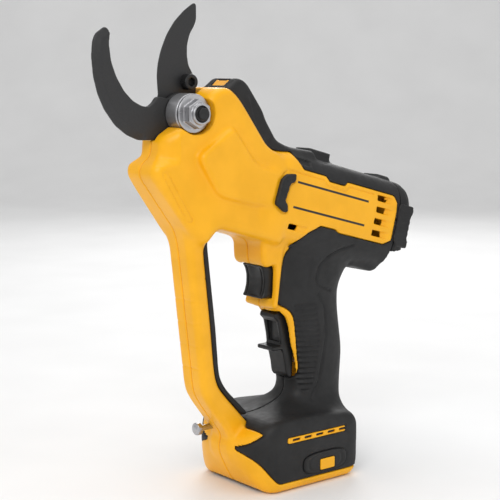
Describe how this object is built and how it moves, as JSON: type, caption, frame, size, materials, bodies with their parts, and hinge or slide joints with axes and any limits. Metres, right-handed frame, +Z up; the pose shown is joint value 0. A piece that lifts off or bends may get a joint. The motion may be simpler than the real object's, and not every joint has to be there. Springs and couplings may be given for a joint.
{
  "type": "battery electric pruner",
  "caption": "Cordless electric pruner with a fixed hook, a driven curved blade, a motor barrel, a guarded trigger grip with a lock-off lever, and a foot for a slide-in battery.",
  "frame": {"origin": "middle of the battery seat, the flat roof of the bay under the foot", "axes": "+X towards the rear of the tool, -X the way the blades lead, +Y the tool's right side, +Z up, from the foot to the blades"},
  "size_m": [0.2541, 0.0768, 0.3195],
  "materials": {
    "black_oxide": "black oxide",
    "black_plastic": "fine grain",
    "black_rubber": "matt soft-touch",
    "board_green": "solder mask",
    "brass": "bright",
    "cast_aluminium": "die cast",
    "coated_steel": "dark grey non-stick coating",
    "copper": "varnished copper",
    "gear_steel": "machined, oiled",
    "lens_amber": "clear tinted",
    "magnet_steel": "dark laminations",
    "satin_steel": "satin",
    "yellow_plastic": "satin moulded",
    "zinc_steel": "bright zinc plate"
  },
  "bodies": {
    "tool": {"control_board": "board_green", "far_spacer": "satin_steel", "front_bearing": "zinc_steel", "front_windings": "copper", "gear_case": "cast_aluminium", "gearbox_plate": "cast_aluminium", "guard_liner": "black_rubber", "hook_jaw": "coated_steel", "housing_screw_1": "zinc_steel", "housing_screw_2": "zinc_steel", "housing_screw_3": "zinc_steel", "housing_screw_4": "zinc_steel", "idler_bearing_left": "zinc_steel", "idler_bearing_right": "zinc_steel", "lanyard_stud": "zinc_steel", "led_board": "board_green", "led_lens": "lens_amber", "left_contact": "brass", "left_front_bumper": "black_rubber", "left_grip_cover": "black_rubber", "left_housing": "yellow_plastic", "left_rear_bumper": "black_rubber", "left_vent_strip": "yellow_plastic", "lockoff_pin": "satin_steel", "output_bearing": "zinc_steel", "pivot_bolt": "black_oxide", "pivot_nut": "zinc_steel", "pivot_sleeve": "satin_steel", "rear_bearing": "zinc_steel", "rear_cap": "black_plastic", "rear_windings": "copper", "right_contact": "brass", "right_front_bumper": "black_rubber", "right_grip_cover": "black_rubber", "right_housing": "yellow_plastic", "right_rear_bumper": "black_rubber", "right_vent_strip": "yellow_plastic", "ring_gear": "gear_steel", "stator_core": "magnet_steel", "switch_body": "black_plastic", "tag_cover": "black_plastic", "tag_insert": "yellow_plastic", "terminal_block": "black_plastic", "top_cover": "black_rubber"},
    "blade": {"cutting_blade": "coated_steel", "blade_screw": "black_oxide", "sector_gear": "gear_steel"},
    "idler": {"idler_pinion": "gear_steel", "bevel_gear": "gear_steel"},
    "carrier": {"planet_carrier": "gear_steel"},
    "planet_1": {"planet_gear_1": "gear_steel"},
    "planet_2": {"planet_gear_2": "gear_steel"},
    "planet_3": {"planet_gear_3": "gear_steel"},
    "rotor": {"rotor_shaft": "satin_steel", "rotor_magnets": "magnet_steel", "fan": "black_plastic"},
    "trigger": {"trigger": "black_plastic", "trigger_spring": "satin_steel"},
    "lever": {"lockoff_lever": "black_plastic", "lockoff_spring": "satin_steel"}
  },
  "joints": [
    {"name": "motor_spin", "type": "hinge", "parent": "tool", "child": "rotor", "pos_m": [0.02634, 0, 0.17259], "axis": [0.9659, 0, -0.2588], "range_deg": [0, 3490.9]},
    {"name": "carrier_spin", "type": "hinge", "parent": "tool", "child": "carrier", "pos_m": [-0.01713, 0, 0.18424], "axis": [0.9659, 0, -0.2588], "range_deg": [-1, 699.2]},
    {"name": "idler_spin", "type": "hinge", "parent": "tool", "child": "idler", "pos_m": [-0.05003, 0, 0.19305], "axis": [0, -1, 0], "range_deg": [-241, 1]},
    {"name": "blade_pivot", "type": "hinge", "parent": "tool", "child": "blade", "pos_m": [-0.0815, 0, 0.2387], "axis": [0, -1, 0], "range_deg": [-0.2, 56.2]},
    {"name": "planet_1_spin", "type": "hinge", "parent": "carrier", "child": "planet_1", "pos_m": [-0.01036, 0.012, 0.18242], "axis": [0.9659, 0, -0.2588], "range_deg": [-1873.8, 12]},
    {"name": "planet_2_spin", "type": "hinge", "parent": "carrier", "child": "planet_2", "pos_m": [-0.00767, -0.006, 0.19246], "axis": [0.9659, 0, -0.2588], "range_deg": [-1873.8, 12]},
    {"name": "planet_3_spin", "type": "hinge", "parent": "carrier", "child": "planet_3", "pos_m": [-0.01305, -0.006, 0.17239], "axis": [0.9659, 0, -0.2588], "range_deg": [-1873.8, 12]},
    {"name": "trigger_slide", "type": "slide", "parent": "tool", "child": "trigger", "axis": [1, 0, 0], "range_m": [0, 0.007], "stiffness_N_per_m": 400, "springref_m": -0.004},
    {"name": "lockoff_swing", "type": "hinge", "parent": "tool", "child": "lever", "pos_m": [0.004, 0, 0.099], "axis": [0, -1, 0], "range_deg": [0, 7], "stiffness_Nm_per_rad": 0.08, "springref_deg": -6.88}
  ],
  "couplings": [
    {"joint": "carrier_spin", "follows": "motor_spin", "ratio": 0.2},
    {"joint": "idler_spin", "follows": "motor_spin", "ratio": -0.06875},
    {"joint": "blade_pivot", "follows": "motor_spin", "ratio": 0.016042},
    {"joint": "planet_1_spin", "follows": "motor_spin", "ratio": -0.53333},
    {"joint": "planet_2_spin", "follows": "motor_spin", "ratio": -0.53333},
    {"joint": "planet_3_spin", "follows": "motor_spin", "ratio": -0.53333}
  ]
}
